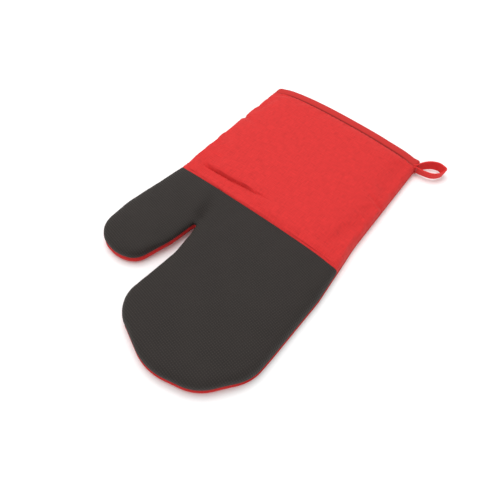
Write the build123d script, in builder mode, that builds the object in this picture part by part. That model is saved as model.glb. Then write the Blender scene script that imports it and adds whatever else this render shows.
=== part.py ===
"""Oven mitt, lying palm side up.

X runs across the mitt (thumb on the -X side), +Y from the fingertips to the cuff mouth, +Z up.
The origin is on the resting face, in the middle of the whole outline.  Millimetres.
"""
from build123d import *
import os

os.makedirs("parts", exist_ok=True)

# ---- driving dimensions -------------------------------------------------------------------
MOUTH_Y = 150.0          # bound edge of the cuff
CUFF_SEAM_Y = 0.0        # join of the neoprene palm and the cotton cuff
FINGER_FOLD_Y = -86.0    # line on which the finger pocket folds up
CROTCH = (-37.0, -37.0)  # inside corner between thumb and fingers
WRIST = (-92.0, 3.0)     # outer end of the line on which the thumb folds

COTTON = 1.0             # outer cotton drill
NEOPRENE = 2.0           # embossed neoprene of the palm
BATTING = 3.8            # insulating wadding, each side
LINING = 0.8             # inner lining cloth
HAND_GAP = 6.4           # free height of the hand cavity
FOLD_GAP = 0.4           # clearance between two bodies at a fold line
SEAM_GAP = 0.4           # thickness of the thread line that joins palm and back
EDGE_ROUND = 2.8         # rounding of the outer long edges
SEAM_ALLOWANCE = 2.0     # cloth turned in at the outline
SEAM_INSET = 0.8         # the seam's thread lies this far inside the outline
CLOTH_CLEARANCE = 0.2    # between two cloths that only lie side by side

BINDING_WIDTH = 10.0     # folded tape round the mouth
BINDING_CLOTH = 0.8
LOOP_TAPE = 1.6          # doubled tape of the hanging loop
LOOP_HEIGHT = 8.6        # width of that tape, standing on edge
LOOP_RADIUS = 7.0        # outside of the round end
LOOP_CENTRE = (95.2, 150.2)
LOOP_ROOT_X = 77.6       # the loop is caught in the side seam here
LOOP_ROOT_Y = 140.0
LOOP_ROOT_WIDTH = 12.0
LOOP_LOW_Z = 2.0
STITCH_PITCH = 3.4
STITCH = (2.2, 0.5, 0.3)  # length, width, height of one visible stitch
STITCH_OFFSET = 2.0      # rows of stitches lie this far beside their seam
JOIN_ROW = (-86.0, 79.0)     # ends in X of the row along the neoprene's edge
BINDING_ROW = (-82.0, 72.0)  # ends in X of the row along the binding
BARTACK_CENTRE = (73.2, 135.0)
BARTACK_STITCHES = 8
BARTACK_PITCH = 0.9
BARTACK_WIDTH = 2.6

# ---- layer heights, from the table up -----------------------------------------------------
BACK_BATTING_Z = COTTON
BACK_LINING_Z = BACK_BATTING_Z + BATTING
CAVITY_FLOOR_Z = BACK_LINING_Z + LINING
CAVITY_ROOF_Z = CAVITY_FLOOR_Z + HAND_GAP
PALM_BATTING_Z = CAVITY_ROOF_Z + LINING
PALM_SKIN_Z = PALM_BATTING_Z + BATTING
TOP_Z = PALM_SKIN_Z + NEOPRENE
CUFF_TOP_Z = PALM_SKIN_Z + COTTON
SEAM_Z = 7.4             # height of the seam that joins palm and back all round

WALL = SEAM_ALLOWANCE + CLOTH_CLEARANCE   # everything inside the skins starts here
PANEL_END_Y = MOUTH_Y - BINDING_WIDTH
PADDING_END_Y = MOUTH_Y - BINDING_CLOTH - CLOTH_CLEARANCE
BEYOND = 60.0            # cutting bodies reach this far past the outline

# Corners of the outline and the radius that rounds each one.  The mouth end runs on past the
# mouth, and each layer is cut off where it really ends.
OUTLINE = [
    (-86.0, MOUTH_Y + BEYOND, 4.0),
    (73.0, MOUTH_Y + BEYOND, 4.0),
    (87.6, -82.0, 60.0),
    (87.0, -135.0, 42.0),
    (29.0, -163.8, 90.0),
    (-38.2, -143.0, 36.0),
    (-33.5, -70.0, 60.0),
    (-34.6, CROTCH[1], 2.2),
    (-39.6, CROTCH[1], 2.2),
    (-51.0, -104.0, 22.0),
    (-102.6, -106.5, 27.0),
    (-102.0, -55.0, 60.0),
    (-91.5, 3.0, 60.0),
]

# Regions of the three sewn bodies in plan.  The line down the notch passes through free space.
NOTCH_MIDDLE = (-41.0, -70.0)
FAR_X = 160.0
FAR_Y = -220.0


def fold_point(x, shift=0.0):
    """Point on the thumb's fold line at x, moved towards the thumb by shift."""
    slope = (WRIST[1] - CROTCH[1]) / (WRIST[0] - CROTCH[0])
    drop = shift * (1 + slope**2) ** 0.5
    return (x, CROTCH[1] + slope * (x - CROTCH[0]) - drop)


def thumb_region(shift):
    """Corners of the area that belongs to the thumb."""
    return [fold_point(CROTCH[0], shift), fold_point(-FAR_X, shift), (-FAR_X, FAR_Y),
            (NOTCH_MIDDLE[0], FAR_Y), NOTCH_MIDDLE]


def finger_region(shift):
    """Corners of the area that belongs to the finger pocket."""
    fold = FINGER_FOLD_Y - shift
    return [(NOTCH_MIDDLE[0], fold), (FAR_X, fold), (FAR_X, FAR_Y), (NOTCH_MIDDLE[0], FAR_Y)]


def plan(body, inset, start_y, end_y, z):
    """Outline moved in by inset, between two heights of Y, for one body."""
    with BuildSketch(Plane.XY.offset(z)) as area:
        with BuildLine():
            FilletPolyline(*[(x, y) for x, y, _ in OUTLINE],
                           radius=[r for _, _, r in OUTLINE], close=True)
        make_face()
        if inset:
            offset(amount=-inset, kind=Kind.INTERSECTION)
        with BuildLine():
            Polyline((-FAR_X, start_y), (FAR_X, start_y), (FAR_X, end_y), (-FAR_X, end_y),
                     close=True)
        make_face(mode=Mode.INTERSECT)
        for name, region in (("thumb", thumb_region), ("fingers", finger_region)):
            if body == name:
                with BuildLine():
                    Polyline(*region(FOLD_GAP / 2), close=True)
                make_face(mode=Mode.INTERSECT)
            elif body == "hand":
                with BuildLine():
                    Polyline(*region(-FOLD_GAP / 2), close=True)
                make_face(mode=Mode.SUBTRACT)
    return area.sketch


def slab(body, inset, z_low, z_high, end_y=PADDING_END_Y):
    """Flat layer between two heights."""
    with BuildPart() as layer:
        add(plan(body, inset, FAR_Y, end_y, z_low))
        extrude(amount=z_high - z_low)
    return layer


def tray(body, inset, wall, z_plate, z_rim, thickness, start_y=FAR_Y, end_y=PANEL_END_Y, rounding=0):
    """Plate with a rim turned over at the outline, open at the fold lines and the mouth.

    z_plate is the outer face of the plate and z_rim the edge of the rim, above or below it.
    """
    low, high = min(z_plate, z_rim), max(z_plate, z_rim)
    inner_low = low + thickness if z_plate < z_rim else low
    inner_high = high if z_plate < z_rim else high - thickness
    with BuildPart() as shell:
        add(plan("whole", inset, start_y, end_y, low))
        extrude(amount=high - low)
        if rounding:
            face = shell.faces().sort_by(Axis.Z)[0 if z_plate < z_rim else -1]
            straight_cuts = face.edges().filter_by(Axis.X)
            fillet([edge for edge in face.edges() if edge not in straight_cuts], rounding)
        add(plan("whole", inset + wall, FAR_Y, MOUTH_Y + BEYOND / 2, inner_low))
        extrude(amount=inner_high - inner_low, mode=Mode.SUBTRACT)
        with BuildSketch(Plane.XY.offset(low)):
            add(plan(body, -1, FAR_Y, MOUTH_Y, low))
        extrude(amount=high - low, mode=Mode.INTERSECT)
    return shell


def seam_thread(body):
    """Thread line of the seam that joins palm and back round the outline."""
    with BuildPart() as thread:
        add(plan(body, SEAM_INSET, FAR_Y, PANEL_END_Y, SEAM_Z - SEAM_GAP / 2))
        extrude(amount=SEAM_GAP)
        add(plan("whole", SEAM_INSET + SEAM_GAP, FAR_Y, MOUTH_Y + BEYOND / 2, SEAM_Z - SEAM_GAP / 2))
        extrude(amount=SEAM_GAP, mode=Mode.SUBTRACT)
    return thread


def stitch_row(y, x_first, x_last, z):
    """Row of surface stitches along X."""
    count = int((x_last - x_first) / STITCH_PITCH)
    middle = (x_first + x_last) / 2
    with BuildPart() as row:
        with Locations((middle, y, z)):
            with GridLocations(STITCH_PITCH, 0, count, 1):
                Box(*STITCH, align=(Align.CENTER, Align.CENTER, Align.MIN))
    return row


def write(piece, name):
    """Label a finished sub-part and write its STEP file."""
    piece.part.label = name
    export_step(piece.part, f"parts/{name}.step")
    print(f"{name}: {piece.part.volume / 1000:.2f} cm3")


# ---- layers of the mitt, cut at the two fold lines -----------------------------------------
PALM_RIM_Z = SEAM_Z + SEAM_GAP / 2
BACK_RIM_Z = SEAM_Z - SEAM_GAP / 2

for body in ("hand", "thumb", "fingers"):
    write(tray(body, 0, SEAM_ALLOWANCE, TOP_Z, PALM_RIM_Z, NEOPRENE, end_y=CUFF_SEAM_Y,
               rounding=EDGE_ROUND), f"palm_neoprene_{body}")
    write(tray(body, 0, SEAM_ALLOWANCE, 0, BACK_RIM_Z, COTTON, rounding=EDGE_ROUND),
          f"back_cotton_{body}")
    write(slab(body, WALL, PALM_BATTING_Z, PALM_SKIN_Z), f"palm_batting_{body}")
    write(slab(body, WALL, BACK_BATTING_Z, BACK_LINING_Z), f"back_batting_{body}")
    write(tray(body, WALL, LINING, PALM_BATTING_Z, PALM_RIM_Z, LINING, end_y=PADDING_END_Y),
          f"palm_lining_{body}")
    write(tray(body, WALL, LINING, BACK_LINING_Z, BACK_RIM_Z, LINING, end_y=PADDING_END_Y),
          f"back_lining_{body}")
    write(seam_thread(body), f"outline_seam_thread_{body}")

write(tray("hand", 0, SEAM_ALLOWANCE, CUFF_TOP_Z, PALM_RIM_Z, COTTON,
           start_y=CUFF_SEAM_Y + CLOTH_CLEARANCE, rounding=EDGE_ROUND), "palm_cuff_cotton")

# ---- folded tape that binds the mouth: outer leaf, end cap and inner leaf ------------------
LEAF = BINDING_CLOTH
inner_leaf_floor = CAVITY_FLOOR_Z + LEAF
inner_leaf_roof = CAVITY_ROOF_Z - LEAF
binding_start = PANEL_END_Y + CLOTH_CLEARANCE
lining_inset = WALL + LINING + CLOTH_CLEARANCE
with BuildPart() as binding:
    add(plan("whole", 0, binding_start, MOUTH_Y, 0))
    extrude(amount=CUFF_TOP_Z)
    long_edges = binding.edges().filter_by(lambda e: abs(e.tangent_at(0.5).Y) > 0.9)
    fillet(long_edges, EDGE_ROUND)
    add(plan("whole", WALL - CLOTH_CLEARANCE, binding_start, MOUTH_Y - LEAF, COTTON))
    extrude(amount=PALM_SKIN_Z - COTTON, mode=Mode.SUBTRACT)
    add(plan("whole", lining_inset, binding_start, MOUTH_Y, CAVITY_FLOOR_Z))
    extrude(amount=HAND_GAP)
    add(plan("whole", lining_inset + LEAF, binding_start, MOUTH_Y, inner_leaf_floor))
    extrude(amount=inner_leaf_roof - inner_leaf_floor, mode=Mode.SUBTRACT)
write(binding, "mouth_binding")

# ---- hanging loop, a doubled tape standing on edge beside the mouth ------------------------
with BuildPart() as loop:
    with BuildSketch(Plane.XY.offset(LOOP_LOW_Z)):
        with Locations(LOOP_CENTRE):
            Circle(LOOP_RADIUS)
        with Locations((LOOP_ROOT_X + LOOP_TAPE / 2, LOOP_ROOT_Y)):
            Rectangle(LOOP_TAPE, LOOP_ROOT_WIDTH)
        make_hull()
        offset(amount=-LOOP_TAPE, mode=Mode.SUBTRACT)
    extrude(amount=LOOP_HEIGHT)
write(loop, "hanging_loop")

# ---- visible stitching ----------------------------------------------------------------------
write(stitch_row(CUFF_SEAM_Y + STITCH_OFFSET, *JOIN_ROW, CUFF_TOP_Z), "palm_join_stitches")
write(stitch_row(PANEL_END_Y + STITCH_OFFSET, *BINDING_ROW, CUFF_TOP_Z), "binding_stitches")

with BuildPart() as bartack:
    with Locations((*BARTACK_CENTRE, CUFF_TOP_Z)):
        with GridLocations(0, BARTACK_PITCH, 1, BARTACK_STITCHES):
            Box(BARTACK_WIDTH, STITCH[1], STITCH[2], align=(Align.CENTER, Align.CENTER, Align.MIN))
write(bartack, "loop_bartack")
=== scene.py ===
import math
import bpy
import numpy as np
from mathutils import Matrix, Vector
from mathutils.bvhtree import BVHTree
from mathutils.geometry import delaunay_2d_cdt


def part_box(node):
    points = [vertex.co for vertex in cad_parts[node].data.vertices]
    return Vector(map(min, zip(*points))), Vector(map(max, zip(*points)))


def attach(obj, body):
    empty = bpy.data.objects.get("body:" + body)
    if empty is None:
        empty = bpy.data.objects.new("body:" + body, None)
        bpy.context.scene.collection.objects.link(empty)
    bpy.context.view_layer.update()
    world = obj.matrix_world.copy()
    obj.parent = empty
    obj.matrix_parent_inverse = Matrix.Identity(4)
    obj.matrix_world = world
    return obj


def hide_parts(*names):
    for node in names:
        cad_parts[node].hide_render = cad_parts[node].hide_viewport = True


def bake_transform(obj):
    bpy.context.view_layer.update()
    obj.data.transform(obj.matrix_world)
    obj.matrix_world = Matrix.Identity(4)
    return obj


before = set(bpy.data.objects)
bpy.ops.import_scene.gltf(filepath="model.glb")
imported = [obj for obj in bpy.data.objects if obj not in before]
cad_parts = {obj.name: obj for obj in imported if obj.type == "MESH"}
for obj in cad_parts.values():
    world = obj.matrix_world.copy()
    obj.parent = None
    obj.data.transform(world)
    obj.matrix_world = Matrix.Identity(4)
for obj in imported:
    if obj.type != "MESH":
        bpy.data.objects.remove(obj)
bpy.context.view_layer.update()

MM = 0.001


def add_object(name, data):
    obj = bpy.data.objects.new(name, data)
    bpy.context.scene.collection.objects.link(obj)
    return obj


def norms(rows):
    """Length of each row."""
    return np.linalg.norm(rows, axis=1)


def corner_mm(node, side):
    """Lowest (0) or highest (1) corner of a CAD node, in millimetres."""
    return np.array(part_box(node)[side]) / MM


# ---- places taken from the frame ----
BINDING_Y = corner_mm("mouth_binding", 0)[1]
JOIN_Y = corner_mm("palm_neoprene_hand", 1)[1]

# ---- camera ----
CAMERA_PLACE = (0.1884, -0.2560, 0.4485)
CAMERA_AIM = (-0.0034, -0.0222, 0.0)
CAMERA_LENS = 46.5  # millimetres, like the sensor
CAMERA_SENSOR = 36.0

# ---- the plan: outline from the mouth's thumb side round the tips to its other side ----
OUTLINE = [  # x, y, radius that rounds the corner
    (-86.4, 150.0, 0.0),
    (-90.7, 3.0, 60.0),
    (-101.2, -60.0, 60.0),
    (-101.1, -98.8, 22.0),
    (-72.0, -103.9, 30.0),
    (-54.8, -97.6, 19.0),
    (-43.4, -66.0, 60.0),
    (-40.0, -40.4, 1.6),
    (-36.8, -40.4, 1.6),
    (-33.0, -72.0, 34.0),
    (-37.9, -137.4, 30.0),
    (17.4, -163.0, 50.0),
    (61.0, -152.5, 38.0),
    (86.4, -117.6, 38.0),
    (86.6, -92.0, 50.0),
    (85.7, -30.0, 80.0),
    (79.0, 32.0, 120.0),
    (74.8, 150.0, 0.0),
]
CROTCH = np.array((-38.5, -40.4))
CREASE_TOP_X = -45.5  # where the crease from the crotch meets the join
EDGE_STEP = 2.0  # spacing of points along the outline
CROTCH_STEP = 0.6
ARC_STEP = 0.4  # spacing of points on a rounded corner
CROTCH_REACH = 8.0
INNER_STEP = 2.4  # spacing of points inside
HEX_ROW = 0.866  # row spacing of an even triangle grid
FINE_STEP = 1.7  # spacing in the rows below
FINE_ROWS = [  # y, from x, to x: extra points where seams and folds need them
    *[(JOIN_Y + d, -95.0, 95.0) for d in (-2.2, -1.0, 0.8, 1.7, 2.8)],
    *[(BINDING_Y + d, -95.0, 95.0) for d in (-2.6, -1.5, -0.7, 0.7, 1.6)],
    *[(y, -95.0, 5.0) for y in (11.5, 12.6, 13.5, 14.4, 15.4, 16.6, 17.8)],
]

# Rings of points inside the outline.  In the plan they lie RING_PLAN inwards.  The profiles say
# where they really are: (inwards from the outline, height), from the seam over the side wall.
RING_PLAN = (0.0, 0.5, 1.0, 1.6, 2.3, 3.2, 4.6, 7.0)
# Heights run from 0 to 1: from the seam to the rim on the palm side, from the floor to the seam
# on the back side.
PALM_PROFILE = ((1.7, 0.0), (0.8, 0.10), (0.25, 0.24), (0.1, 0.42), (0.55, 0.62), (1.6, 0.79),
                (3.5, 0.92), (6.8, 1.0))
BACK_PROFILE = ((1.7, 1.0), (0.8, 0.87), (0.25, 0.70), (0.1, 0.50), (0.5, 0.30), (1.5, 0.14),
                (3.4, 0.04), (6.8, 0.0))
# Beside the slot under the thumb the back's rim is rolled higher, over a recessed foot.
SLOT_PROFILE = ((1.7, 1.0), (0.8, 0.94), (0.25, 0.86), (0.1, 0.74), (0.6, 0.62), (2.0, 0.55),
                (2.9, 0.10), (6.8, 0.0))
SLOT_RISE = 3.0
SLOT_THUMB_SIDE = 62.0  # how far from the crotch this reaches along the outline
SLOT_PALM_SIDE = 12.0
CAVITY_INSET = 4.0  # where the hand's space pinches out inside the outline
CROWN_REACH = 15.0  # how quickly the palm side rises to its full height
PALM_THICKNESS = 6.2  # skin, wadding and lining of the palm side
BACK_THICKNESS = 5.6

SEAM_HEIGHT = 6.2  # of the outline seam above the table
SEAM_SIDE_DROP = 4.9  # lower at the little finger, where the neoprene wraps down
SEAM_TIP_DROP = 1.5
RIM_HEIGHT = 15.9  # of the palm side, a few millimetres inside the outline
RIM_SIDE_DROP = 2.2
RIM_CUFF_DROP = 2.4
MIDDLE_HEIGHT = 17.9  # of the palm side, well inside the outline
MIDDLE_CUFF_DROP = 1.2


def smooth(t):
    """Smooth step of t from 0 to 1."""
    t = np.clip(t, 0.0, 1.0)
    return t * t * (3 - 2 * t)


def bell(distance, width):
    """Smooth bump, 1 at no distance and almost gone at twice the width."""
    return np.exp(-(distance / width) ** 2)


def seam_height(xy):
    """Height of the outline seam."""
    x, y = xy[..., 0], xy[..., 1]
    right = smooth((x - 55) / 25) * smooth((y + 138) / 30)
    cuff = smooth((y - 5) / 50)
    tip = smooth((x + 36) / 4) * (1 - smooth((y + 120) / 20))
    return SEAM_HEIGHT - SEAM_SIDE_DROP * right * (1 - 0.6 * cuff) - SEAM_TIP_DROP * tip * (1 - right)


def rim_height(xy):
    """Height of the palm side a few millimetres inside the outline."""
    x, y = xy[..., 0], xy[..., 1]
    right = smooth((x + 10) / 80) * smooth((y + 140) / 60)
    return RIM_HEIGHT - RIM_SIDE_DROP * right - RIM_CUFF_DROP * smooth((y - 5) / 130)


def middle_height(xy):
    """Height of the palm side well inside the outline."""
    return MIDDLE_HEIGHT - MIDDLE_CUFF_DROP * smooth((xy[..., 1] - 20) / 130)


# ---- plan ----
def rounded_corner(before, here, after):
    """Points of the arc that rounds one corner of the outline."""
    corner = np.array(here[:2])
    a = np.array(before[:2]) - corner
    b = np.array(after[:2]) - corner
    a /= np.linalg.norm(a)
    b /= np.linalg.norm(b)
    half = math.acos(np.clip(a @ b, -1, 1)) / 2
    radius = here[2]
    middle = (a + b) / np.linalg.norm(a + b)
    centre = corner + middle * radius / math.sin(half)
    start = corner + a * radius / math.tan(half) - centre
    turn = math.pi - 2 * half
    sign = np.sign(a[0] * b[1] - a[1] * b[0]) * -1
    steps = max(4, int(turn * radius / ARC_STEP))
    points = []
    for step in range(steps + 1):
        angle = sign * turn * step / steps
        c, s = math.cos(angle), math.sin(angle)
        points.append(centre + np.array((c * start[0] - s * start[1], s * start[0] + c * start[1])))
    return points


def rounded_outline():
    """Outline with its corners rounded, as closely spaced points."""
    points = [np.array(OUTLINE[0][:2])]
    for before, here, after in zip(OUTLINE, OUTLINE[1:], OUTLINE[2:]):
        points += rounded_corner(before, here, after)
    points = np.array(points + [np.array(OUTLINE[-1][:2])])
    gaps = norms(np.diff(points, axis=0))
    return points[np.concatenate([[True], gaps > 1e-6])]


def run_lengths(line):
    """Length along a line from its start to each of its points."""
    return np.concatenate([[0], np.cumsum(norms(np.diff(line, axis=0)))])


def along(line, lengths, at):
    """Points of a line at these lengths from its start."""
    return np.stack([np.interp(at, lengths, line[:, i]) for i in range(line.shape[1])], axis=-1)


def walk_outline(stations, crotch):
    """Places along the outline, finer near the crotch, and the number of each station."""
    samples, columns = [0.0], []
    for a, b in zip(stations, stations[1:]):
        walk = [a]
        while walk[-1] < b:
            near = abs(walk[-1] - crotch) < CROTCH_REACH or abs(walk[-1] + 1 - crotch) < CROTCH_REACH
            walk.append(walk[-1] + (CROTCH_STEP if near else EDGE_STEP))
        walk = np.array(walk)
        walk = a + (walk - a) * (b - a) / (walk[-1] - a)
        samples.extend(walk[1:])
        columns.append(len(samples) - 1)
    return np.array(samples), columns


class Plan:
    """Flat triangulation of the mitt, with rings along the outline and lines along the seams."""

    def __init__(self):
        self.trace_outline()
        self.fill()
        self.measure()

    def trace_outline(self):
        """Columns of points along the outline, and the way inwards at each."""
        dense = rounded_outline()
        length = run_lengths(dense)

        def crossing(y, last):
            above = dense[:, 1] > y
            hits = np.nonzero(above[1:] != above[:-1])[0]
            i = hits[-1] if last else hits[0]
            share = (y - dense[i, 1]) / (dense[i + 1, 1] - dense[i, 1])
            return length[i] + share * (length[i + 1] - length[i])

        crotch = length[np.argmin(norms(dense - CROTCH))]
        stations = [0.0, crossing(BINDING_Y, False), crossing(JOIN_Y, False), crotch,
                    crossing(JOIN_Y, True), crossing(BINDING_Y, True), length[-1]]
        samples, self.column = walk_outline(stations, crotch)
        self.edge = along(dense, length, samples)
        tangent = along(dense, length, samples + ARC_STEP) - along(dense, length, samples - ARC_STEP)
        tangent /= norms(tangent)[:, None]
        self.inward = np.stack([-tangent[:, 1], tangent[:, 0]], axis=1)
        self.inward[0] = (1.0, 0.0)
        self.inward[-1] = (-1.0, 0.0)
        self.count = len(samples)
        beyond = samples - crotch
        self.slot = np.where(beyond <= 0, smooth((SLOT_THUMB_SIDE + beyond) / 40),
                             smooth(1 - beyond / SLOT_PALM_SIDE))

    def fill(self):
        """Quads between the rings, and triangles over everything inside them."""
        n = self.count
        rings = [self.edge + self.inward * d for d in RING_PLAN]
        self.rings = len(rings)
        self.last = rings[-1]
        self.start = (self.rings - 1) * n
        self.inner, self.segments = [], []
        self.add_seam_lines()
        self.add_rows()
        self.add_grid()
        flat, triangles = self.triangulate()
        quads = []
        for ring in range(self.rings - 1):
            for j in range(n - 1):
                a, b = ring * n + j, ring * n + j + 1
                quads.append((a, b, b + n, a + n))
        self.flat = np.concatenate(rings[:-1] + [flat])
        self.faces = quads + triangles

    def add_line(self, a, b, first, final):
        """Points between a and b, joined to the known points first and final."""
        steps = int(np.linalg.norm(b - a) / INNER_STEP)
        ids = [first]
        for step in range(1, steps):
            self.inner.append(a + (b - a) * step / steps)
            ids.append(self.start + self.count + len(self.inner) - 1)
        ids.append(final)
        self.segments.extend(zip(ids, ids[1:]))
        return ids

    def add_seam_lines(self):
        """Lines of points along the mouth, the binding, the join and the web crease."""
        last, start = self.last, self.start
        left_binding, left_join, crotch, right_join, right_binding, end = self.column
        self.mouth_ids = self.add_line(last[0], last[end], start, start + end)
        self.binding_ids = self.add_line(last[left_binding], last[right_binding],
                                         start + left_binding, start + right_binding)
        crease_top = np.array((CREASE_TOP_X, JOIN_Y))
        self.inner.append(crease_top)
        top_id = start + self.count + len(self.inner) - 1
        self.join_ids = self.add_line(last[left_join], crease_top, start + left_join, top_id)
        self.join_ids += self.add_line(crease_top, last[right_join], top_id, start + right_join)[1:]
        self.add_line(last[crotch], crease_top, start + crotch, top_id)

    def add_rows(self):
        """Fine rows of points where seams and folds cross the mitt."""
        within = self.last - np.sign(self.last) * FINE_STEP
        for y, low_x, high_x in FINE_ROWS:
            for x in np.arange(low_x, high_x, FINE_STEP):
                if inside((x, y), within):
                    self.inner.append(np.array((x, y)))

    def add_grid(self):
        """Even triangle grid over what is left."""
        fixed = np.concatenate([self.last, np.array(self.inner)])
        low, high = self.last.min(0), self.last.max(0)
        rows = int((high[1] - low[1]) / (INNER_STEP * HEX_ROW)) + 1
        columns = int((high[0] - low[0]) / INNER_STEP) + 2
        grid = [(low[0] + (c + 0.5 * (r % 2)) * INNER_STEP, low[1] + r * INNER_STEP * HEX_ROW)
                for r in range(rows) for c in range(columns)]
        for point in np.array(grid):
            clear = norms(fixed - point).min() > 0.62 * INNER_STEP
            if clear and inside(point, self.last):
                self.inner.append(point)

    def triangulate(self):
        """Triangles over the last ring and the inner points, which gain any crossing points."""
        start, n = self.start, self.count
        flat = np.concatenate([self.last, np.array(self.inner)])
        boundary = list(range(n)) + [i - start for i in reversed(self.mouth_ids[1:-1])]
        edges = [(a - start, b - start) for a, b in self.segments]
        result = delaunay_2d_cdt([Vector(p) for p in flat], edges, [boundary], 1, 1e-5)
        original = []
        for place, ids in zip(result[0], result[3]):
            if not ids:  # two lines crossed, so there is a new point
                flat = np.concatenate([flat, [tuple(place)]])
            original.append(ids[0] if ids else len(flat) - 1)
        return flat, [tuple(start + original[i] for i in face) for face in result[2]]

    def measure(self):
        """Distance from the outline, and which region each face lies in."""
        n = self.count
        self.depth = np.empty(len(self.flat))
        for ring, d in enumerate(RING_PLAN):
            self.depth[ring * n:(ring + 1) * n] = d
        rest = self.flat[self.rings * n:]
        self.depth[self.rings * n:] = [line_distance(p, self.edge) for p in rest]
        self.ring_of = np.full(len(self.flat), self.rings)
        self.column_of = np.zeros(len(self.flat), int)
        self.ring_of[:self.rings * n] = np.repeat(np.arange(self.rings), n)
        self.column_of[:self.rings * n] = np.tile(np.arange(n), self.rings)
        middles = np.array([self.flat[list(f)].mean(0) for f in self.faces])
        join = self.flat[self.join_ids].T
        binding = self.flat[self.binding_ids].T
        left_binding, left_join, crotch, right_join, right_binding, _ = self.column
        web = JOIN_Y - CROTCH[1] - RING_PLAN[-1]
        self.region = []
        for face, middle in zip(self.faces, middles):
            if len(face) == 4:
                j = self.column_of[face[0]]
                beyond_thumb = j >= crotch
                mouth = j < left_binding or j >= right_binding
                cuff = j < left_join or j >= right_join
            else:
                up = max(0.0, middle[1] - CROTCH[1] - RING_PLAN[-1])
                beyond_thumb = middle[0] > CROTCH[0] + (CREASE_TOP_X - CROTCH[0]) * up / web
                mouth = middle[1] > np.interp(middle[0], *binding)
                cuff = middle[1] > np.interp(middle[0], *join)
            hand = "palm" if beyond_thumb else "thumb"
            self.region.append("binding" if mouth else "cuff" if cuff else hand)
        self.region = np.array(self.region)


def inside(point, polygon):
    """Whether a point lies inside a polygon."""
    x, y = point
    a, b = polygon, np.roll(polygon, -1, axis=0)
    crosses = (a[:, 1] > y) != (b[:, 1] > y)
    with np.errstate(divide="ignore", invalid="ignore"):
        at = a[:, 0] + (y - a[:, 1]) * (b[:, 0] - a[:, 0]) / (b[:, 1] - a[:, 1])
    return bool(np.count_nonzero(crosses & (x < at)) % 2)


def line_distance(point, line):
    """Distance from a point to the nearest place on a line of segments."""
    a, b = line[:-1], line[1:]
    ab = b - a
    t = np.clip(((point - a) * ab).sum(1) / (ab * ab).sum(1), 0, 1)
    return norms(a + ab * t[:, None] - point).min()


# ---- lifting the plan into the two sides ----
def lift(plan, profile, crown):
    """Plan points raised by a profile along the outline and a crown over the middle."""
    n = plan.count
    points = np.zeros((len(plan.flat), 3))
    points[:, :2] = plan.flat
    seam = seam_height(plan.edge) + SLOT_RISE * plan.slot
    low, high = (seam, rim_height(plan.edge)) if crown else (0.0, seam)
    beside = np.zeros(n) if crown else plan.slot
    for ring, (plain, rolled) in enumerate(zip(profile, SLOT_PROFILE)):
        rows = slice(ring * n, (ring + 1) * n)
        inset, share = (a + (b - a) * beside for a, b in zip(plain, rolled))
        points[rows, :2] = plan.edge + plan.inward * inset[:, None]
        points[rows, 2] = low + (high - low) * share
    deep = plan.ring_of == plan.rings
    if crown:
        rim, middle = rim_height(plan.flat[deep]), middle_height(plan.flat[deep])
        reach = plan.depth[deep] - RING_PLAN[-1]
        points[deep, 2] = rim + (middle - rim) * (1 - np.exp(-reach / CROWN_REACH))
    return points


WALL_HEIGHT = 9.0  # usual height of the side wall, for rolling the cloth out flat


def cloth_coordinates(plan, profile):
    """Flat cloth position of each plan point, with the side wall rolled out beside the outline."""
    n = plan.count
    cloth = plan.flat.copy()
    profile = np.array(profile) * (1.0, WALL_HEIGHT)
    steps = run_lengths(profile)
    for ring in range(plan.rings):
        out = steps[-1] - steps[ring]
        cloth[ring * n:(ring + 1) * n] = plan.edge + plan.inward * (RING_PLAN[-1] - out)
    return cloth


def undulation(x, y):
    """Slow unevenness of hand-stuffed cloth, within about one unit."""
    return (0.5 * np.sin(x / 31 + 0.6) * np.cos(y / 43 - 0.4) + 0.3 * np.sin((x + 0.7 * y) / 19 + 1.9)
            + 0.2 * np.cos((x - 1.3 * y) / 12.5))


UNEVENNESS = 0.4
CUFF_PUFF = 0.7  # rise of the cuff between the join and the binding
JOIN_VALLEY = 1.3  # the join is turned under, with the cuff's folded edge above it
JOIN_SAG = 0.5
JOIN_EDGE = 0.35
TAPE_DROP = 2.3  # the tape lies lower than the cuff, whose edge rolls over its stitches
TAPE_GROOVE = 1.7
CUFF_ROLL = 0.6
WEB_CREASE = 4.3
FOLD_Y = 13.6  # fold in the cuff above the join, over its thumb half
FOLD_SLOPE = 0.035
FOLD_FOOT = 2.9
FOLD_STEP = 1.2
FOLD_CREST = 0.5


def seam_relief(y, inner):
    """Puffed cuff, join valley and the step down to the tape."""
    beyond_join, short = y - JOIN_Y, BINDING_Y - y
    puff = (1 - np.exp(-beyond_join / 7)) * (1 - np.exp(-short / 9))
    height = np.where((beyond_join > 0) & (short > 0), CUFF_PUFF * puff, 0)
    height -= JOIN_VALLEY * bell(beyond_join, 0.9) * inner
    height -= JOIN_SAG * bell(beyond_join, 4.0) * inner
    height += JOIN_EDGE * bell(beyond_join - 1.9, 0.9) * inner
    height -= inner * (TAPE_DROP * smooth((0.8 - short) / 1.6) + TAPE_GROOVE * bell(short + 0.6, 0.8))
    return height + inner * CUFF_ROLL * bell(short + 6.0, 4.0)


def web_crease(x, y):
    """Groove from the crotch towards the join."""
    up = y - CROTCH[1]
    share = np.clip(up / (JOIN_Y - CROTCH[1]), -0.3, 1.0)
    crease_x = CROTCH[0] + (CREASE_TOP_X - CROTCH[0]) * share
    fade = smooth((1.0 - share) / 0.8) * smooth((up + 6) / 8) * smooth(up / 9)
    return -WEB_CREASE * bell(x - crease_x, 4.8) * fade


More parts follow.
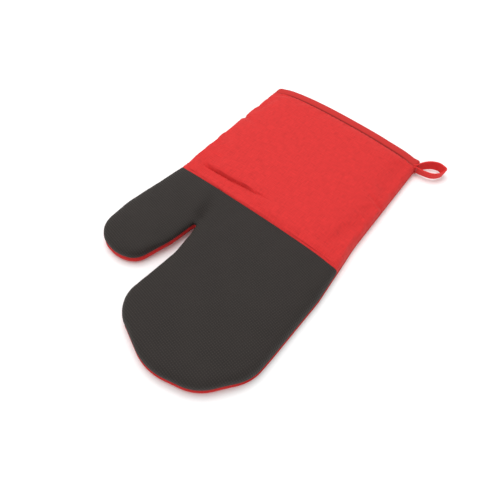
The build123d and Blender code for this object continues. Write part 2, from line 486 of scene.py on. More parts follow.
def cuff_fold(x, y):
    """Fold in the cuff: a step down with a sharp foot."""
    window = smooth((x + 78) / 8) * smooth((4 - x) / 45)
    above = y - JOIN_Y - FOLD_Y - FOLD_SLOPE * (x + 80)
    step = FOLD_STEP * smooth((2.0 - above) / 3) * smooth((y - 1) / 6)
    return window * (FOLD_CREST * bell(above - 4.0, 3.5) - FOLD_FOOT * bell(above, 1.3) - step)


def palm_features(plan, points):
    """Valleys and rises of the palm side's skins."""
    x, y = plan.flat[:, 0], plan.flat[:, 1]
    height = UNEVENNESS * undulation(x, y) * smooth(plan.depth / 30.0)
    height += seam_relief(y, smooth(plan.depth / RING_PLAN[-1])) + web_crease(x, y) + cuff_fold(x, y)
    points[:, 2] += height * smooth((plan.ring_of - 2) / 4)
    return points


PUCKERS = [  # side (-1 thumb side), y, depth, width, reach inwards, slope
    (-1, 88.0, 1.5, 2.4, 17.0, -0.30),
    (-1, 63.0, 0.3, 3.2, 10.0, 0.1),
    (-1, 111.0, 0.5, 2.6, 14.0, -0.15),
    (-1, 27.0, 0.3, 2.4, 9.0, 0.2),
    (-1, 41.0, 0.2, 2.4, 8.0, -0.1),
    (-1, 128.0, 0.6, 2.6, 16.0, -0.25),
    (1, 76.0, 1.3, 2.0, 12.0, 0.25),
    (1, 96.0, 0.7, 2.2, 10.0, 0.1),
    (1, 52.0, 0.7, 2.2, 9.0, 0.2),
    (1, 118.0, 0.8, 2.2, 10.0, -0.1),
    (1, 24.0, 0.6, 2.0, 9.0, 0.0),
]


def puckers(plan, points):
    """Small gathers that the side seams of the cuff pull into the cloth."""
    for side, y, depth, width, reach, slope in PUCKERS:
        same_side = np.sign(plan.flat[:, 0]) == side
        line = plan.flat[:, 1] - y - slope * plan.depth
        pull = depth * bell(line, width) * np.exp(-plan.depth / reach) * same_side
        points[:, 2] -= pull * smooth((plan.ring_of - 1) / 3)
        points[:, 0] -= side * 0.25 * pull
    return points


MOUTH_BOW = (5.2, 2.6)  # drop of the mouth's two ends below its crest
MOUTH_CREST_X = -8.0
MOUTH_SLACK = 1.6  # room for the rolled tape at the crest
ROUNDED_CORNER = (16.0, 5.0)  # reach and drop of the mouth's rounded thumb-side corner
RAISED_CORNER = (34.0, 2.7)  # reach and rise of its other corner, beside the loop
MOUTH_REACH = 60.0  # how far back from the mouth the cuff follows it


def mouth_dip(points):
    """Bow the mouth edge, round its thumb-side corner and raise the other."""
    low, high = OUTLINE[0][0], OUTLINE[-1][0]
    left = np.clip((low + ROUNDED_CORNER[0] - points[:, 0]) / ROUNDED_CORNER[0], 0, 1)
    right = np.clip((points[:, 0] - high + RAISED_CORNER[0]) / RAISED_CORNER[0], 0, 1)
    dip = ROUNDED_CORNER[1] * (1 - np.sqrt(1 - 0.96 * left**3)) - RAISED_CORNER[1] * right**1.2
    away = points[:, 0] - MOUTH_CREST_X
    bow = np.where(away < 0, MOUTH_BOW[0], MOUTH_BOW[1]) * (away / (high - MOUTH_CREST_X)) ** 2
    share = smooth((points[:, 1] - OUTLINE[0][1] + MOUTH_REACH) / MOUTH_REACH)
    points[:, 1] -= share * (bow + dip + MOUTH_SLACK)
    return points


SIM_FRAMES = 14
CLOTH = {
    "quality": 7, "mass": 0.25, "tension_stiffness": 20, "compression_stiffness": 20,
    "shear_stiffness": 8, "bending_stiffness": 0.3, "use_pressure": True,
    "uniform_pressure_force": 2.2,
    "shrink_min": -0.02,  # below zero is cloth to spare, which buckles a little
}
MOST_MOVE = 1.4  # millimetres
NEOPRENE_SHARE = 0.3  # the foam panel is stiff and takes only this much of the move


def add_cloth(obj):
    """Cloth modifier with air pressure and a little cloth to spare, held at the pins."""
    cloth = obj.modifiers.new("cloth", "CLOTH")
    cloth.settings.vertex_group_mass = "pins"
    for key, value in CLOTH.items():
        setattr(cloth.settings, key, value)
    cloth.settings.effector_weights.gravity = 0
    cloth.collision_settings.use_collision = False


def relax(plan, points):
    """Cloth simulation of the palm side between its seams, with its move limited."""
    mesh = bpy.data.meshes.new("relaxing")
    mesh.from_pydata((points * MM).tolist(), [], [tuple(f) for f in plan.faces])
    obj = add_object("relaxing", mesh)
    scene = bpy.context.scene
    y = plan.flat[:, 1]
    held = (plan.ring_of <= 2) | (np.abs(y - JOIN_Y) < 1.2) | (y > BINDING_Y - 1.0)
    pins = obj.vertex_groups.new(name="pins")
    pins.add([int(i) for i in np.nonzero(held)[0]], 1.0, "REPLACE")
    add_cloth(obj)
    for frame_number in range(1, SIM_FRAMES + 1):
        scene.frame_set(frame_number)
    moved = obj.evaluated_get(bpy.context.evaluated_depsgraph_get()).to_mesh()
    place = np.empty(len(points) * 3)
    moved.vertices.foreach_get("co", place)
    move = place.reshape(-1, 3) / MM - points
    scene.frame_set(1)
    bpy.data.objects.remove(obj)
    size = norms(move)
    move *= (MOST_MOVE * np.tanh(size / MOST_MOVE) / np.maximum(size, 1e-9))[:, None]
    share = NEOPRENE_SHARE + (1 - NEOPRENE_SHARE) * smooth((y - JOIN_Y) / 4)
    return points + move * (share * smooth((plan.ring_of - 2) / 3))[:, None]


plan = Plan()
palm = lift(plan, PALM_PROFILE, True)
back = lift(plan, BACK_PROFILE, False)
palm = puckers(plan, palm_features(plan, palm))
palm = relax(plan, palm)
mouth_dip(palm)
mouth_dip(back)
palm_cloth = cloth_coordinates(plan, PALM_PROFILE)
back_cloth = cloth_coordinates(plan, BACK_PROFILE)


# ---- meshes ----
SLIVER = 0.05  # clear space between layers that touch
COTTON = 0.8
NEOPRENE = 1.6
LINING = 0.7
TAPE = 0.8


def area_vectors(points, faces):
    """Corners of each triangle, quads split in two, and its normal with twice its area as length."""
    corners = np.array([f[:3] for f in faces] + [(f[0], f[2], f[3]) for f in faces if len(f) == 4])
    a, b, c = (points[corners[:, i]] for i in range(3))
    return corners, np.cross(b - a, c - a)


def vertex_normals(points, faces):
    corners, cross = area_vectors(points, faces)
    normals = np.zeros_like(points)
    for i in range(3):
        np.add.at(normals, corners[:, i], cross)
    return normals / np.maximum(norms(normals), 1e-9)[:, None]


def boundary_edges(faces):
    """Directed edges that only one face uses."""
    edges = {edge: True for face in faces for edge in zip(face, face[1:] + face[:1])}
    return [(a, b) for a, b in edges if (b, a) not in edges]


def make_object(name, points, faces, cloth, material, sharp=40.0):
    """Mesh from millimetre points, with its flat cloth coordinates as a UV map."""
    mesh = bpy.data.meshes.new(name)
    mesh.from_pydata((np.asarray(points) * MM).tolist(), [], faces)
    corner = np.empty(len(mesh.loops), dtype=np.int32)
    mesh.loops.foreach_get("vertex_index", corner)
    layer = mesh.uv_layers.new(name="cloth")
    layer.uv.foreach_set("vector", (np.asarray(cloth)[corner] * MM).astype(np.float32).ravel())
    mesh.shade_smooth()
    mesh.set_sharp_from_angle(angle=math.radians(sharp))
    mesh.materials.append(material)
    return add_object(name, mesh)


def between(name, outer, inner, faces, cloth, material):
    """Closed layer from an outer surface to an inner one on the same faces."""
    faces = [tuple(f) for f in faces]
    used = sorted({i for f in faces for i in f})
    place = {old: new for new, old in enumerate(used)}
    count = len(used)
    near = [tuple(place[i] for i in f) for f in faces]
    far = [tuple(count + i for i in reversed(f)) for f in near]
    rim = [(b, a, a + count, b + count) for a, b in boundary_edges(near)]
    points = np.concatenate([outer[used], inner[used]])
    return make_object(name, points, near + far + rim, np.concatenate([cloth[used]] * 2), material)


def faces_of(*regions):
    """Faces of the plan that lie in these regions."""
    return [f for f, r in zip(plan.faces, plan.region) if r in regions]


def turned(faces):
    return [tuple(reversed(f)) for f in faces]


# ---- materials ----
class Shader:
    """Small helper that builds one node material."""

    def __init__(self, name, colour, roughness):
        self.material = bpy.data.materials.new(name)
        self.material.use_nodes = True
        self.tree = self.material.node_tree
        self.shader = self.tree.nodes["Principled BSDF"]
        self.shader.inputs["Base Color"].default_value = (*colour, 1.0)
        self.shader.inputs["Roughness"].default_value = roughness
        self.bumped = None

    def node(self, kind, values=None, **settings):
        made = self.tree.nodes.new(kind)
        for key, value in settings.items():
            setattr(made, key, value)
        for key, value in (values or {}).items():
            if isinstance(value, bpy.types.NodeSocket):
                self.tree.links.new(value, made.inputs[key])
            else:
                made.inputs[key].default_value = value
        return made

    def math(self, operation, a, b=0.0, c=0.0):
        return self.node("ShaderNodeMath", {0: a, 1: b, 2: c}, operation=operation).outputs[0]

    def cloth(self):
        """Flat cloth position in millimetres."""
        uv = self.node("ShaderNodeUVMap", uv_map="cloth").outputs[0]
        scaled = self.node("ShaderNodeVectorMath", {0: uv, 3: 1 / MM}, operation="SCALE").outputs[0]
        split = self.node("ShaderNodeSeparateXYZ", {0: scaled})
        return scaled, split.outputs[0], split.outputs[1]

    def noise(self, vector, size, detail=2.0, rough=0.5):
        """Noise from 0 to 1 with features about size millimetres wide."""
        return self.node("ShaderNodeTexNoise", {"Vector": vector, "Scale": 1 / size, "Detail": detail,
                                                "Roughness": rough}).outputs["Fac"]

    def stripes(self, position, pitch):
        """Round ridges from 0 to 1, one every pitch millimetres."""
        wave = self.math("SINE", self.math("MULTIPLY", position, 2 * math.pi / pitch))
        return self.math("MULTIPLY_ADD", wave, 0.5, 0.5)

    def mix(self, factor, a, b):
        made = self.node("ShaderNodeMix", {0: factor}, data_type="RGBA")
        for socket, colour in ((6, a), (7, b)):
            if isinstance(colour, bpy.types.NodeSocket):
                self.tree.links.new(colour, made.inputs[socket])
            else:
                made.inputs[socket].default_value = (*colour, 1.0)
        return made.outputs[2]

    def stretched(self, vector, across, along):
        """Position scaled by different factors each way."""
        return self.node("ShaderNodeVectorMath", {0: vector, 1: (across, along, 1.0)},
                         operation="MULTIPLY").outputs[0]

    def fade(self, value, low, high, at_low, at_high):
        """Value from low to high mapped to a range, and held beyond it."""
        return self.node("ShaderNodeMapRange", {0: value, 1: low, 2: high, 3: at_low, 4: at_high},
                         clamp=True).outputs[0]

    def paint(self, socket):
        self.tree.links.new(socket, self.shader.inputs["Base Color"])

    def rough(self, socket):
        self.tree.links.new(socket, self.shader.inputs["Roughness"])

    def bump(self, height, millimetres, strength=1.0):
        values = {"Height": height, "Distance": millimetres * MM, "Strength": strength}
        if self.bumped:
            values["Normal"] = self.bumped
        self.bumped = self.node("ShaderNodeBump", values).outputs[0]
        self.tree.links.new(self.bumped, self.shader.inputs["Normal"])

    def specular(self, level):
        self.shader.inputs["Specular IOR Level"].default_value = level

    def sheen(self, weight, roughness=0.5, tint=(1, 1, 1)):
        for key, value in (("Weight", weight), ("Roughness", roughness), ("Tint", (*tint, 1.0))):
            self.shader.inputs["Sheen " + key].default_value = value


def scaled(colour, factor):
    """Lighter or darker shade of a colour."""
    return tuple(min(1.0, c * factor) for c in colour)


RED = (0.585, 0.0262, 0.0254)
TAPE_RED = (0.51, 0.0265, 0.0235)
CHARCOAL = (0.0220, 0.0172, 0.0150)
RED_SHEEN = (1.0, 0.6, 0.55)
GRID_PITCH = 1.85  # embossed squares of the neoprene
GRID_TURN = math.radians(-12)
STITCH_SHIFT = 1.6  # from the tape's edge to its stitches, towards the mouth


def neoprene_material():
    """Charcoal foam rubber cloth embossed with a fine square grid, with painted shade in the grid's
    valleys.
    """
    s = Shader("neoprene", CHARCOAL, 0.72)
    vector, u, v = s.cloth()
    wander = s.math("MULTIPLY", s.noise(vector, 24.0), 1.2)
    cosine, sine = math.cos(GRID_TURN), math.sin(GRID_TURN)
    across = s.math("MULTIPLY_ADD", u, cosine, s.math("MULTIPLY", v, sine))
    along = s.math("MULTIPLY_ADD", v, cosine, s.math("MULTIPLY", u, -sine))
    columns = s.math("POWER", s.stripes(s.math("ADD", across, wander), GRID_PITCH), 0.35)
    rows = s.math("POWER", s.stripes(s.math("ADD", along, wander), GRID_PITCH), 0.8)
    grid = s.math("MULTIPLY", columns, rows)
    knit = s.noise(vector, 0.5, 3.0, 0.7)
    patches = s.noise(vector, 26.0, 3.0)
    # painted shade: the grid's valleys are painted darker than its raised squares
    base = s.mix(grid, scaled(CHARCOAL, 0.40), scaled(CHARCOAL, 1.42))
    s.paint(s.mix(s.math("MULTIPLY", patches, 0.5), base, scaled(CHARCOAL, 1.35)))
    s.rough(s.math("MULTIPLY_ADD", knit, 0.2, 0.62))
    s.bump(knit, 0.10, 0.5)
    s.bump(grid, 0.30, 0.9)
    s.sheen(0.04, 0.6, (0.9, 0.85, 0.8))
    s.specular(0.25)
    return s.material


def cotton_material(name, colour, pitch=0.55, mottle=0.15):
    """Plain woven cotton: two thread families, slubs and slow unevenness of the dye."""
    s = Shader(name, colour, 0.85)
    vector, u, v = s.cloth()
    warp = s.stripes(u, pitch)
    weft = s.stripes(v, pitch)
    gaps = s.math("MULTIPLY", s.math("SUBTRACT", 1.0, warp), s.math("SUBTRACT", 1.0, weft))
    weave = s.math("ADD", s.math("MULTIPLY", warp, weft), gaps)
    slubs = s.math("ADD", s.noise(s.stretched(vector, 0.12, 1.4), 1.0),
                   s.noise(s.stretched(vector, 1.4, 0.12), 1.0))
    patches = s.noise(vector, 5.0, 4.0, 0.65)
    low, high = scaled(colour, 1 - 1.6 * mottle), scaled(colour, 1 + mottle)
    base = s.mix(s.math("MULTIPLY_ADD", slubs, 1.4, -0.9), low, high)
    s.paint(s.mix(s.math("MULTIPLY_ADD", patches, 1.2, -0.35), base, scaled(colour, 1 + 0.6 * mottle)))
    s.bump(weave, 0.05, 0.5)
    s.bump(slubs, 0.12, 0.6)
    s.bump(patches, 0.5, 0.35)
    s.sheen(0.10, 0.5, RED_SHEEN)
    s.specular(0.2)
    return s.material


def tape_material(name, colour):
    """Folded cotton tape with close ribs, with painted shade along its stitch line."""
    s = Shader(name, colour, 0.8)
    vector, u, v = s.cloth()
    ribs = s.stripes(u, 0.9)
    cross = s.stripes(v, 0.6)
    worn = s.noise(vector, 4.0, 3.0)
    # painted shade: the valleys between the ribs are painted darker than the ribs
    base = s.mix(s.math("MULTIPLY", ribs, 0.6), scaled(colour, 0.86), scaled(colour, 1.08))
    foot = s.math("ABSOLUTE", s.math("SUBTRACT", v, BINDING_Y + STITCH_SHIFT))
    # painted shade: a dark band along the stitch line, faded out towards the tape's ends
    painted_groove_shade = s.fade(foot, 0.9, 1.7, 0.85, 0.0)
    cloth = s.mix(s.math("MULTIPLY", worn, 0.4), base, scaled(colour, 1.2))
    middle = s.math("ABSOLUTE", s.math("SUBTRACT", u, -4.0))
    ends = s.fade(middle, 62.0, 78.0, 1.0, 0.25)
    s.paint(s.mix(s.math("MULTIPLY", painted_groove_shade, ends), cloth, scaled(colour, 0.42)))
    s.bump(s.math("ADD", ribs, s.math("MULTIPLY", cross, 0.5)), 0.08, 0.6)
    s.sheen(0.10, 0.5, RED_SHEEN)
    s.specular(0.2)
    return s.material


def thread_material(name, colour):
    """Twisted sewing thread, with painted shade in the grooves of its twist."""
    s = Shader(name, colour, 0.6)
    _, u, v = s.cloth()
    twist = s.stripes(s.math("ADD", u, s.math("MULTIPLY", v, 1.3)), 0.35)
    # painted shade: the twist's grooves are painted darker than its crests
    s.paint(s.mix(twist, scaled(colour, 0.7), scaled(colour, 1.15)))
    s.bump(twist, 0.06, 0.7)
    s.sheen(0.2)
    return s.material


def wadding_material():
    """Loose white polyester fibre."""
    s = Shader("wadding", (0.82, 0.80, 0.76), 0.95)
    vector = s.cloth()[0]
    fibres = s.noise(vector, 0.8, 5.0, 0.75)
    clumps = s.noise(vector, 7.0, 3.0)
    s.paint(s.mix(s.math("MULTIPLY", fibres, clumps), (0.74, 0.72, 0.68), (0.9, 0.89, 0.86)))
    s.bump(fibres, 0.5, 0.8)
    s.sheen(0.4)
    return s.material


neoprene = neoprene_material()
red_cotton = cotton_material("red_cotton", RED)
lining_cloth = cotton_material("lining_cloth", (0.74, 0.70, 0.60), 0.7, 0.05)
red_tape = tape_material("red_tape", TAPE_RED)
# painted light: the loop's red is a lighter copy of the shell's red, standing in for the light on the
# loop
loop_red_painted_light = tape_material("loop_tape_red", scaled(RED, 1.15))
wadding = wadding_material()
red_thread = thread_material("red_thread", (0.50, 0.022, 0.024))
dark_thread = thread_material("neoprene_thread", (0.12, 0.012, 0.013))

# ---- layers of both sides ----
palm_normals = vertex_normals(palm, plan.faces)
back_normals = vertex_normals(back, turned(plan.faces))


def inner_surface(outer, lowest):
    """Surface on the hand's side of a layer stack, pinched out at the seam."""
    n = plan.count
    surface = outer.copy()
    surface[:, 2] += lowest
    last = slice((plan.rings - 1) * n, plan.rings * n)
    dip = outer[last, 1] - plan.flat[last, 1]
    seam = outer[:n, 2]
    for ring, depth in enumerate(RING_PLAN):
        rows = slice(ring * n, (ring + 1) * n)
        share = depth / RING_PLAN[-1]
        inset = CAVITY_INSET + (RING_PLAN[-1] - CAVITY_INSET) * share
        surface[rows, :2] = plan.edge + plan.inward * inset
        surface[rows, 1] += dip
        surface[rows, 2] = seam + (surface[last, 2] - seam) * math.sqrt(share)
    return surface


roof = inner_surface(palm, -PALM_THICKNESS)
floor = inner_surface(back, BACK_THICKNESS)
floor[:, 2] = np.minimum(floor[:, 2], roof[:, 2])
roof[:, 2] += SLIVER
floor[:, 2] -= SLIVER


def on_thumb(obj, *nodes):
    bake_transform(obj)
    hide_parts(*nodes)


def on_fingers(obj, *nodes):
    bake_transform(obj)
    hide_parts(*nodes)


def on_hand(obj, *nodes):
    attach(obj, "hand")
    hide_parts(*nodes)


def layer(name, outer, inner, faces, cloth, material, place, nodes, padded=False):
    """One closed cloth or wadding layer, handed to its placing function with the CAD nodes that it
    replaces.
    """
    obj = between(name, outer, inner, faces, cloth, material)
    place(obj, *nodes)


def skins():
    """Neoprene and cotton outsides of both sides."""
    palm_foam = palm - palm_normals * NEOPRENE
    palm_cotton = palm - palm_normals * COTTON
    back_cotton = back - back_normals * COTTON
    layer("palm_neoprene", palm, palm_foam, faces_of("palm"), palm_cloth, neoprene, on_fingers,
          ("palm_neoprene_hand", "palm_neoprene_fingers"))
    layer("thumb_neoprene", palm, palm_foam, faces_of("thumb"), palm_cloth, neoprene, on_thumb,
          ("palm_neoprene_thumb",))
    layer("cuff_cotton", palm, palm_cotton, faces_of("cuff"), palm_cloth, red_cotton, on_hand,
          ("palm_cuff_cotton",))
    layer("back_cotton", back, back_cotton, turned(faces_of("palm", "cuff")), back_cloth, red_cotton,
          on_fingers, ("back_cotton_hand", "back_cotton_fingers"))
    layer("back_thumb_cotton", back, back_cotton, turned(faces_of("thumb")), back_cloth, red_cotton,
          on_thumb, ("back_cotton_thumb",))


def filling(side, skin, normals, inner, cloth):
    """Wadding and lining of one side, in a hand piece and a thumb piece."""
    palm_side = side == "palm"
    up = np.array((0, 0, 1 if palm_side else -1))
    lining_top = inner + up * LINING
    pad_top = skin - normals * (NEOPRENE + SLIVER)
    pad_top[:, 2] = np.maximum(pad_top[:, 2], COTTON + SLIVER)
    pad_bottom = lining_top + up * SLIVER
    parts = (("", ("palm", "cuff", "binding"), on_fingers, ("hand", "fingers")),
             ("_thumb", ("thumb",), on_thumb, ("thumb",)))
    for part, regions, place, bodies in parts:
        outwards, inwards = faces_of(*regions), turned(faces_of(*regions))
        if not palm_side:
            outwards, inwards = inwards, outwards
        layer(f"{side}_wadding{part}", pad_top, pad_bottom, outwards, cloth, wadding, place,
              [f"{side}_batting_{body}" for body in bodies], padded=True)
        layer(f"{side}_lining_cloth{part}", inner, lining_top, inwards, plan.flat, lining_cloth, place,
              [f"{side}_lining_{body}" for body in bodies])


skins()
filling("palm", palm, palm_normals, roof, palm_cloth)
filling("back", back, back_normals, floor, back_cloth)


# ---- stitches ----
THREAD_SIDES = 6
JOIN_PITCH = 2.7
BINDING_PITCH = 3.1
OUTLINE_PITCH = 3.4
STITCH = 2.3  # length of one stitch of the join and the binding
OUTLINE_STITCH = 2.6
THREAD = 0.28  # radius; the join's thread is finer
JOIN_THREAD = 0.22


def tube_faces(rings, sides):
    """Faces of a closed tube whose points go round each ring in turn."""
    faces = []
    for ring in range(rings - 1):
        for k in range(sides):
            a, b = ring * sides + k, ring * sides + (k + 1) % sides
            faces.append((a, a + sides, b + sides, b))
    last = (rings - 1) * sides
    return faces + [tuple(range(sides)), tuple(last + k for k in reversed(range(sides)))]


def smooth_tube(path, radii):
    """Rounded thread along a path: points and faces."""
    path = np.asarray(path, float)
    tangents = np.gradient(path, axis=0)
    tangents /= norms(tangents)[:, None]
    points = []
    for place, tangent, radius in zip(path, tangents, radii):
        up = np.array((0.0, 0.0, 1.0)) if abs(tangent[2]) < 0.9 else np.array((1.0, 0.0, 0.0))
        side = np.cross(tangent, up)
        side /= np.linalg.norm(side)
        top = np.cross(side, tangent)
        for k in range(THREAD_SIDES):
            angle = 2 * math.pi * k / THREAD_SIDES
            points.append(place + radius * (math.cos(angle) * side + math.sin(angle) * top))
    return points, tube_faces(len(path), THREAD_SIDES)


def stitch_piece(name, stitches, radius, material):
    """One piece of many stitches, each given by its two ends and the way it bulges."""
    points, faces, cloth = [], [], []
    for a, b, rise in stitches:
        a, b, rise = (np.asarray(p, float) for p in (a, b, rise))
        shares = (0.0, 0.08, 0.3, 0.7, 0.92, 1.0)
        path = [a + (b - a) * t + rise * (1 - (2 * t - 1) ** 4) for t in shares]
        some, more = smooth_tube(path, [radius * r for r in (0.35, 0.8, 1.0, 1.0, 0.8, 0.35)])
        base = len(points)
        points.extend(some)
        faces.extend([tuple(base + i for i in f) for f in more])
        length = np.linalg.norm(b - a)
        start = len(points) % 97  # so that the twist differs from stitch to stitch
        cloth.extend([(start + t * length, k * radius) for t in shares for k in range(THREAD_SIDES)])
    return make_object(name, points, faces, np.array(cloth), material, sharp=80.0)


palm_tree = BVHTree.FromPolygons(palm.tolist(), plan.faces)
back_tree = BVHTree.FromPolygons(back.tolist(), plan.faces)


def on_skin(tree, x, y, above=True):
    """Point and outward normal of a skin straight above or below a plan position."""
    way = -1.0 if above else 1.0
    place, normal, _, _ = tree.ray_cast(Vector((x, y, -100.0 * way)), Vector((0, 0, way)))
    if place is None:
        return None, None
    normal = np.array(normal)
    return np.array(place), normal * np.sign(normal[2]) * -way


def stitch_line(tree, line, pitch, sink, rise, above=True):
    """Stitches along a plan line, sunk into the skin at their ends."""
    steps = run_lengths(line)
    made = []
    for s in np.arange(pitch / 2, steps[-1] - STITCH, pitch):
        ends = []
        for t in (s, s + STITCH):
            place, normal = on_skin(tree, *along(line, steps, t), above)
            if place is not None:
                ends.append(place - normal * sink)
        if len(ends) == 2:
            made.append((ends[0], ends[1], normal * rise))
    return made


def line_of(ids, points, shift):
    """Plan line through these points, moved towards the mouth."""
    return points[ids][:, :2] + (0.0, shift)


def outline_stitches(first, last):
    """Stitches that close the seam round the outline, between two columns of the plan."""
    edge = palm[:plan.count]
    steps = run_lengths(edge)
    made = []
    for s in np.arange(steps[first] + 1.0, steps[last] - 3.0, OUTLINE_PITCH):
        a, b = along(edge, steps, s), along(edge, steps, s + OUTLINE_STITCH)
        out = np.cross(b - a, (0, 0, 1.0))
        out /= np.linalg.norm(out)
        made.append((a + out * 0.1, b + out * 0.1, out * 0.35))
    return made


join_runs = stitch_line(palm_tree, line_of(plan.join_ids, palm, 0.25), JOIN_PITCH, sink=0.42, rise=0.12)
join_stitches = stitch_piece("palm_join_stitching", join_runs, JOIN_THREAD, dark_thread)
palm_line, back_line = (line_of(plan.binding_ids, side, STITCH_SHIFT) for side in (palm, back))
binding_runs = stitch_line(palm_tree, palm_line, BINDING_PITCH, sink=0.12, rise=0.28)
binding_runs += stitch_line(back_tree, back_line, BINDING_PITCH, sink=0.50, rise=0.30, above=False)
binding_stitches = stitch_piece("binding_stitching", binding_runs, THREAD, red_thread)
left_binding, left_join, crotch_column, _, right_binding, _ = plan.column
thumb_runs = outline_stitches(left_join, crotch_column)
thumb_seam = stitch_piece("outline_seam_thumb", thumb_runs, THREAD, red_thread)
rest_runs = outline_stitches(left_binding, left_join) + outline_stitches(crotch_column, right_binding)
rest_seam = stitch_piece("outline_seam", rest_runs, THREAD, red_thread)

for stitching, place, nodes in (
        (join_stitches, on_hand, ("palm_join_stitches",)),
        (binding_stitches, on_hand, ("binding_stitches",)),
        (thumb_seam, on_thumb, ("outline_seam_thread_thumb",)),
        (rest_seam, on_fingers, ("outline_seam_thread_hand", "outline_seam_thread_fingers"))):
    place(stitching, *nodes)


# ---- binding tape round the mouth ----
ROLL = ((0.15, 0.9), (0.5, 1.35), (0.85, 0.9))  # share of the way in, reach beyond the mouth
ROLL_CLOTH = 6.0  # tape that the rolled edge takes up


def binding_half(outer, leaf, cloth, faces):
    """Surface of the tape on one side: outer leaf, rolled edge and inner leaf."""
    n = plan.count
    count = len(outer)
    rings = [ring * n for ring in range(plan.rings)]
    chain = rings + plan.mouth_ids[1:-1] + [i + n - 1 for i in reversed(rings)]
    points = [outer, leaf]
    cloths = [cloth, np.stack([cloth[:, 0], 2 * OUTLINE[0][1] + ROLL_CLOTH - cloth[:, 1]], axis=1)]
    rows = [chain]
    for share, reach in ROLL:
        row = outer[chain] + (leaf[chain] - outer[chain]) * share
        gap = norms(leaf[chain] - outer[chain])
        row[:, 1] += reach * np.minimum(gap / 2.5, 1.0)
        first = 2 * count + (len(rows) - 1) * len(chain)
        rows.append(list(range(first, first + len(chain))))
        points.append(row)
        flat = cloth[chain].copy()
        flat[:, 1] += ROLL_CLOTH * share
        cloths.append(flat)
    rows.append([count + i for i in chain])
    made = list(faces) + [tuple(count + i for i in reversed(f)) for f in faces]
    for near, far in zip(rows, rows[1:]):
        made += [(near[k], near[k + 1], far[k + 1], far[k]) for k in range(len(chain) - 1)]
    return np.concatenate(points), made, np.concatenate(cloths)


def weld(points, faces, cloth):
    """Merge points that share a place, and drop what no face uses."""
    seen, keep, new = {}, [], {}
    for i in sorted({i for f in faces for i in f}):
        key = tuple(np.round(points[i], 3))
        if key not in seen:
            seen[key] = len(keep)
            keep.append(i)
        new[i] = seen[key]
    welded = []
    for face in faces:
        ids = [new[i] for i in face]
        ids = [a for a, b in zip(ids, ids[1:] + ids[:1]) if a != b]
        if len(set(ids)) > 2:
            welded.append(tuple(ids))
    return points[keep], welded, cloth[keep]


def make_binding():
    """Tape that folds over the mouth, with a leaf inside the lining of each side."""
    band = faces_of("binding")
    roof_leaf, floor_leaf = roof.copy(), floor.copy()
    middle = (roof[:, 2] + floor[:, 2]) / 2
    roof_leaf[:, 2] = np.maximum(roof[:, 2] - TAPE - SLIVER, middle)
    floor_leaf[:, 2] = np.minimum(floor[:, 2] + TAPE + SLIVER, middle)
    roof_leaf[:plan.count, 2] = floor_leaf[:plan.count, 2] = palm[:plan.count, 2]
    a = binding_half(palm, roof_leaf, palm_cloth, band)
    b = binding_half(back, floor_leaf, back_cloth, band)
    shift = len(a[0])
    points = np.concatenate([a[0], b[0]])
    faces = a[1] + [tuple(shift + i for i in reversed(f)) for f in b[1]]
    points, faces, cloth = weld(points, faces, np.concatenate([a[2], b[2]]))
    normals = vertex_normals(points, faces)
    obj = between("mouth_binding_tape", points, points - normals * TAPE, faces, cloth, red_tape)
    on_hand(obj, "mouth_binding")


make_binding()


# ---- hanging loop ----
LOOP_ROOT = np.array((75.4, 140.2))
LOOP_WAY = np.array((0.848, 0.530))
LOOP_PATH = (  # along from the root, across it
    (-3.0, 1.0), (0.5, 1.3), (4.0, 3.1), (9.0, 5.6), (14.0, 6.6), (19.6, 5.8), (23.6, 3.3), (25.2, 0.0),
    (24.0, -3.2), (19.6, -5.8), (14.0, -6.9), (9.0, -5.6), (4.0, -3.1), (0.5, -1.2), (-3.0, -1.0),
)
LOOP_LOW = 2.0  # height of the tape's lower edge
LOOP_HIGH = 10.6
LOOP_HALF = 0.75  # half of the folded tape's thickness
LOOP_LEAN = 0.8  # the upper edge leans out, the lower edge in
LOOP_RINGS = 90
LOOP_KINK = 0.505  # share of the length where the far end is creased
# Half of the tape's section, from its lower edge: share of the half thickness, distance from an edge.
LOOP_EDGE = ((0.55, 0.0), (1.0, 0.5), (0.72, 1.5), (1.0, 2.6))


def curve_points(path, count):
    """Evenly spaced points of a smooth curve through the path."""
    path = np.array(path, float)
    ends = np.concatenate([[2 * path[0] - path[1]], path, [2 * path[-1] - path[-2]]])
    dense = []
    for p0, p1, p2, p3 in zip(ends, ends[1:], ends[2:], ends[3:]):
        for t in np.linspace(0, 1, 12, endpoint=False):
            dense.append(0.5 * (2 * p1 + (p2 - p0) * t + (2 * p0 - 5 * p1 + 4 * p2 - p3) * t**2
                                + (3 * p1 - p0 - 3 * p2 + p3) * t**3))
    dense = np.array(dense + [path[-1]])
    steps = run_lengths(dense)
    return along(dense, steps, np.linspace(0, steps[-1], count)), steps[-1]


def loop_section():
    """Section of the folded tape, pinched by its edge stitching: across it, and its height."""
    outer = [(LOOP_HALF * share, LOOP_LOW + d) for share, d in LOOP_EDGE]
    outer += [(LOOP_HALF * share, LOOP_HIGH - d) for share, d in reversed(LOOP_EDGE)]
    inner = [(-off, z) for off, z in reversed(outer)]
    return inner[-1:] + outer + inner[:-1]


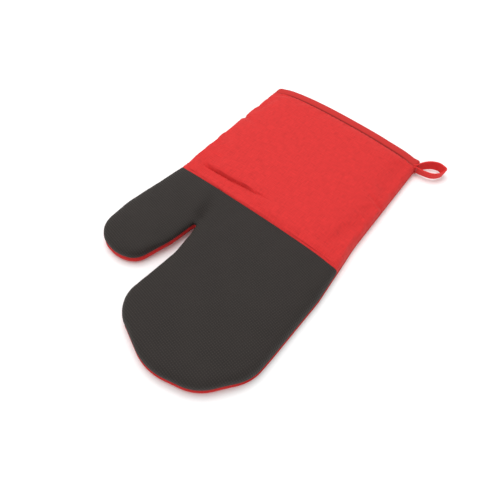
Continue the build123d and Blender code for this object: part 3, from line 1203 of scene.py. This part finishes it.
def make_loop():
    """Folded tape that stands on its edge, swept round the loop's path."""
    path, length = curve_points(LOOP_PATH, LOOP_RINGS)
    across = np.array((-LOOP_WAY[1], LOOP_WAY[0]))
    centre = LOOP_ROOT + path[:, :1] * LOOP_WAY + path[:, 1:] * across
    tangent = np.gradient(centre, axis=0)
    tangent /= norms(tangent)[:, None]
    outward = np.stack([-tangent[:, 1], tangent[:, 0]], axis=1)
    section = loop_section()
    points, cloth = [], []
    for i, place in enumerate(centre):
        s = i / (LOOP_RINGS - 1)
        free = smooth(min(s, 1 - s) / 0.12)
        kink = bell(s - LOOP_KINK, 0.035)
        wave = 0.25 * math.sin(17 * s + 1.0) * free
        for off, z in section:
            tall = (z - LOOP_LOW) / (LOOP_HIGH - LOOP_LOW)
            out = (off + LOOP_LEAN * free * (2 * tall - 1)) * outward[i]
            extra = kink * 1.1 * tall * LOOP_WAY
            points.append((*(place + out + extra), z + wave + kink * 0.9 * (tall - 0.4)))
            cloth.append((s * length, z - LOOP_LOW + (16 if off < 0 else 0)))
    faces = tube_faces(LOOP_RINGS, len(section))
    obj = make_object("loop_tape", points, faces, np.array(cloth), loop_red_painted_light)
    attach(obj, "loop")
    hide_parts("hanging_loop")


BARTACK_X = 76.2
BARTACK_Y = 140.0
BARTACK_LOW = 2.8
BARTACK_ROWS = 9
BARTACK_STEP = 0.85


def make_bartack():
    """Dense zigzag stitches that hold the loop in the side seam."""
    made = []
    for y in (BARTACK_Y - 2.3, BARTACK_Y + 2.3):
        for row in range(BARTACK_ROWS):
            z = BARTACK_LOW + BARTACK_STEP * row
            made.append(((BARTACK_X, y - 0.9, z), (BARTACK_X, y + 0.9, z + 0.4), (0.35, 0, 0)))
    obj = stitch_piece("loop_bartack_stitching", made, 0.3, red_thread)
    on_hand(obj, "loop_bartack")


make_loop()
make_bartack()


# ---- room, light and camera ----
FLOOR_SIZE = 6.0  # metres
FLOOR_DROP = 0.0001  # keeps the floor clear of the mitt's underside
FLOOR_TONE = 0.96
SKY_STRENGTH = 0.83
SOFTBOX_PLACE = (-0.28, 0.10, 1.25)
SOFTBOX_SIZE = 0.9
SOFTBOX_WATTS = 9.0


def make_floor():
    bpy.ops.mesh.primitive_plane_add(size=FLOOR_SIZE, location=(0, 0, -FLOOR_DROP))
    plane = bpy.context.object
    plane.name = "floor"
    plane.data.materials.append(Shader("floor_paper", [FLOOR_TONE] * 3, 0.9).material)


def make_light():
    """White surroundings and one large soft light from above."""
    world = bpy.data.worlds.new("studio")
    bpy.context.scene.world = world
    world.use_nodes = True
    background = world.node_tree.nodes["Background"]
    background.inputs["Color"].default_value = (1.0, 1.0, 1.0, 1.0)
    background.inputs["Strength"].default_value = SKY_STRENGTH
    light = bpy.data.lights.new("softbox", "AREA")
    light.shape = "DISK"
    light.size = SOFTBOX_SIZE
    light.energy = SOFTBOX_WATTS
    obj = add_object("softbox", light)
    obj.location = SOFTBOX_PLACE
    obj.rotation_euler = (-Vector(SOFTBOX_PLACE)).to_track_quat("-Z", "Y").to_euler()


def make_camera():
    camera = bpy.data.cameras.new("camera")
    camera.lens = CAMERA_LENS
    camera.sensor_width = CAMERA_SENSOR
    obj = add_object("camera", camera)
    obj.location = CAMERA_PLACE
    obj.rotation_euler = (Vector(CAMERA_AIM) - Vector(CAMERA_PLACE)).to_track_quat("-Z", "Y").to_euler()
    bpy.context.scene.camera = obj


make_floor()
make_light()
make_camera()
bpy.context.scene.view_settings.view_transform = "Standard"
bpy.context.view_layer.update()
